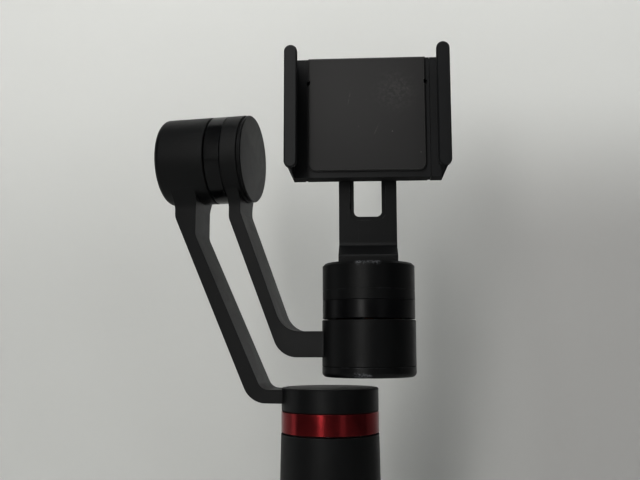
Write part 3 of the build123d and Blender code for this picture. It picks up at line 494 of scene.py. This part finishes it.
def beads(name, node, paths, width, height, material):
    """Raised lines, sized in millimetres, that follow the front of a CAD node.

    Each path is (points, closed).
    """
    source = frame["nodes"][node].data
    surface = BVHTree.FromPolygons([v.co for v in source.vertices], [p.vertices for p in source.polygons])
    vertices, faces = [], []
    for points, closed in paths:
        first, count = len(vertices), len(points)
        for i, (x, z) in enumerate(points):
            before = points[i - 1] if closed or i > 0 else points[i]
            after = points[(i + 1) % count] if closed or i < count - 1 else points[i]
            along = Vector((after[0] - before[0], after[1] - before[1])).normalized()
            side = Vector((-along.y, along.x))
            for share, lift in ((-0.5, SUNK), (-0.33, height), (0.33, height), (0.5, SUNK)):
                at = Vector((x, z)) + side * share * width
                hit = surface.ray_cast(Vector((at.x * MM, CAST_FROM_Y, at.y * MM)), Vector((0, 1, 0)))[0]
                vertices.append((at.x * MM, hit.y - lift * MM, at.y * MM))
        for i in range(count if closed else count - 1):
            a = first + 4 * i
            b = first + 4 * ((i + 1) % count)
            faces += [(a + k, b + k, b + (k + 1) % 4, a + (k + 1) % 4) for k in range(4)]
        if not closed:
            last = first + 4 * (count - 1)
            faces += [(first, first + 1, first + 2, first + 3), (last + 3, last + 2, last + 1, last)]
    piece = new_piece(name, vertices, faces, material)
    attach(piece, node)


def middle_of(node):
    """Middle of a CAD node as (x, z), in millimetres."""
    low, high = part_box(node)
    return ((low.x + high.x) / 2 / MM, (low.z + high.z) / 2 / MM)


def coil_springs(name, node):
    """Compression springs with closed ends in place of a CAD node."""
    low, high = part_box(node)
    wire_radius, coil_radius = 0.28 * MM, 1.5 * MM
    turns, closed = 12, 1.25                # turns in all, and closed turns at each end
    sides, steps_per_turn = 8, 22
    steps = turns * steps_per_turn
    length = high.x - low.x - 2 * wire_radius
    end_rise = closed * 2.1 * wire_radius   # closed turns just miss each other
    vertices, faces = [], []
    for axis_z in (low.z + coil_radius + wire_radius, high.z - coil_radius - wire_radius):
        first = len(vertices)
        for i in range(steps + 1):
            at_turn = turns * i / steps
            if at_turn < closed:
                along = at_turn * end_rise / closed
            elif at_turn > turns - closed:
                along = length - (turns - at_turn) * end_rise / closed
            else:
                along = end_rise + (at_turn - closed) * (length - 2 * end_rise) / (turns - 2 * closed)
            angle = 2 * math.pi * at_turn
            outward = Vector((0, math.cos(angle), math.sin(angle)))
            centre = Vector((low.x + wire_radius + along, (low.y + high.y) / 2, axis_z))
            centre += outward * coil_radius
            for k in range(sides):
                share = 2 * math.pi * k / sides
                vertices.append(centre + outward * wire_radius * math.cos(share)
                                + Vector((wire_radius * math.sin(share), 0, 0)))
        for i in range(steps):
            a, b = first + sides * i, first + sides * (i + 1)
            faces += [(a + k, b + k, b + (k + 1) % sides, a + (k + 1) % sides) for k in range(sides)]
        last = first + sides * steps
        faces += [tuple(range(first, first + sides)), tuple(range(last + sides - 1, last - 1, -1))]
    piece = new_piece(name, vertices, faces, metal("spring_steel", (0.50, 0.50, 0.52), 0.26), smooth=True)
    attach(piece, "clamp")
    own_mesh(piece)
    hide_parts(node)


coil_springs("jaw_coils", "jaw_springs")

mark_ink = moulded("mark_ink", (0.36, 0.36, 0.37), rough=0.5, wear=0.1, dusty=0.1)
at = middle_of("power_button")
open_ring = arc(at, 1.45, 38, 322, 33)
upright = [(at[0], at[1] + z) for z in (0.35, 1.1, 1.85)]
beads("power_mark", "power_button", [(open_ring, False), (upright, False)], 0.34, 0.05, mark_ink)
at = middle_of("mode_button")
dots = [(circle((at[0] + x, at[1]), 0.42, 20), True) for x in (-1.7, 0.0, 1.7)]
beads("mode_mark", "mode_button", dots, 0.30, 0.05, mark_ink)
at = middle_of("joystick_cap")
ribs = [(circle(at, radius, 48), True) for radius in (1.5, 2.6, 3.7)]
beads("joystick_ribs", "joystick_cap", ribs, 0.42, 0.12,
      moulded("rib_rubber", (0.0085, 0.0085, 0.0090), rough=0.58, dusty=0.4))


# ---------------------------------------------------------------- floor, backdrop and light
WALL_Y = 0.122           # clear of the gimbal at every pose
STAGE_HALF = 1.3         # half the stage's width, and the backdrop's height
VIEW_GAMMA = 0.75        # deepens the blacks, as in a phone's picture


def stage_material(name, tone, one_sided, shade=None):
    """Pale matte board with a very faint mottle.

    A one-sided board is clear from behind. With a shade, the board gets painted shade lower down, and a
    painted shadow of that tone at its lower right.
    """
    s = Shader(name)
    mottle = s.noise(2.2, 4.0, 0.55)
    fine = s.noise(350.0, 2.0)
    colour = s.blend(s.span(mottle, 0.3, 0.7), tuple(0.965 * c for c in tone), tone)
    if shade:
        height = s.component(s.position, "Z")
        # painted shade lower down the board, and a painted shadow at its lower right
        painted_shade_low = s.span(height, 0.36, 0.22, smooth=True)
        right_part = s.span(s.component(s.position, "X"), 0.03, 0.12, smooth=True)
        painted_shadow_corner = s.math("MULTIPLY", right_part, s.span(height, 0.35, 0.25, smooth=True))
        colour = s.blend(painted_shade_low, colour, tuple(0.86 * c for c in tone))
        colour = s.blend(painted_shadow_corner, colour, shade)
    s.finish(colour, 0.75, s.bump(fine, 0.00015, 0.15), specular=0.25)
    if one_sided:
        clear = s.add("ShaderNodeBsdfTransparent")
        mix = s.add("ShaderNodeMixShader")
        s.link(s.add("ShaderNodeNewGeometry").outputs["Backfacing"], mix.inputs["Fac"])
        s.link(s.surface.outputs["BSDF"], mix.inputs[1])
        s.link(clear.outputs["BSDF"], mix.inputs[2])
        s.link(mix.outputs["Shader"], s.output.inputs["Surface"])
    return s.material


def stage_sheet(name, corners, material):
    """Flat sheet of the stage, which is no piece of the object."""
    mesh = bpy.data.meshes.new(name)
    mesh.from_pydata(corners, [], [tuple(range(len(corners)))])
    sheet = bpy.data.objects.new(name, mesh)
    bpy.context.scene.collection.objects.link(sheet)
    mesh.materials.append(material)
    return sheet


left, right = -STAGE_HALF, STAGE_HALF
stage_sheet("floor", [(left, left, 0), (right, left, 0), (right, right, 0), (left, right, 0)],
            stage_material("floor_board", (0.74, 0.75, 0.74), one_sided=False))
wall = stage_sheet("backdrop", [(left, WALL_Y, 0), (right, WALL_Y, 0), (right, WALL_Y, STAGE_HALF),
                                (left, WALL_Y, STAGE_HALF)],
                   stage_material("back_board", (0.74, 0.745, 0.73), one_sided=True,
                                  shade=(0.47, 0.467, 0.46)))
wall.visible_shadow = False


def softbox(name, at, target, size, power, colour=(1.0, 1.0, 1.0)):
    """Rectangular area light aimed at a point."""
    data = bpy.data.lights.new(name, "AREA")
    data.shape = "RECTANGLE"
    data.size, data.size_y = size
    data.energy = power
    data.color = colour
    light = bpy.data.objects.new(name, data)
    bpy.context.scene.collection.objects.link(light)
    light.location = at
    light.rotation_euler = (Vector(target) - Vector(at)).to_track_quat("-Z", "Y").to_euler()
    return light


def around_axis(azimuth, distance, height):
    """Point around the tilt axis; azimuth 0 is in front, positive to the right."""
    turn = math.radians(azimuth)
    return (TILT_AXIS.x + distance * math.sin(turn), TILT_AXIS.y - distance * math.cos(turn), height)


MIDDLE = (TILT_AXIS.x, TILT_AXIS.y, 0.21)
softbox("key", around_axis(-19, 1.05, 0.72), MIDDLE, (0.24, 1.40), 9.0, (1.0, 0.99, 0.97))
softbox("second", around_axis(31, 1.15, 0.44), MIDDLE, (0.26, 0.90), 0.55, (0.98, 0.99, 1.0))
softbox("left_fill", around_axis(-100, 1.00, 0.30), MIDDLE, (0.6, 0.6), 1.2)
softbox("right_back", around_axis(158, 1.20, 0.28), MIDDLE, (0.5, 0.5), 1.9)
softbox("overhead", (TILT_AXIS.x - 0.12, TILT_AXIS.y - 0.42, 1.20), MIDDLE, (0.35, 0.45), 2.4)
wall_wash = softbox("wall_wash", (0.18, -0.10, 1.00), (0.14, WALL_Y, 0.40), (0.7, 0.2), 3.2)
wall_wash.visible_glossy = False

SEEN = (0.60, 0.61, 0.60, 1.0)           # what the camera sees past the stage
AMBIENT = (0.018, 0.019, 0.021, 1.0)     # what lights the object from all sides
world = bpy.data.worlds.new("studio")
bpy.context.scene.world = world
world.use_nodes = True
nodes = world.node_tree.nodes
links = world.node_tree.links
nodes.clear()
seen = nodes.new("ShaderNodeBackground")
seen.inputs["Color"].default_value = SEEN
ambient = nodes.new("ShaderNodeBackground")
ambient.inputs["Color"].default_value = AMBIENT
chosen = nodes.new("ShaderNodeMixShader")
links.new(nodes.new("ShaderNodeLightPath").outputs["Is Camera Ray"], chosen.inputs["Fac"])
links.new(ambient.outputs["Background"], chosen.inputs[1])
links.new(seen.outputs["Background"], chosen.inputs[2])
links.new(chosen.outputs["Shader"], nodes.new("ShaderNodeOutputWorld").inputs["Surface"])
view = bpy.context.scene.view_settings
view.view_transform = "Standard"
view.gamma = VIEW_GAMMA
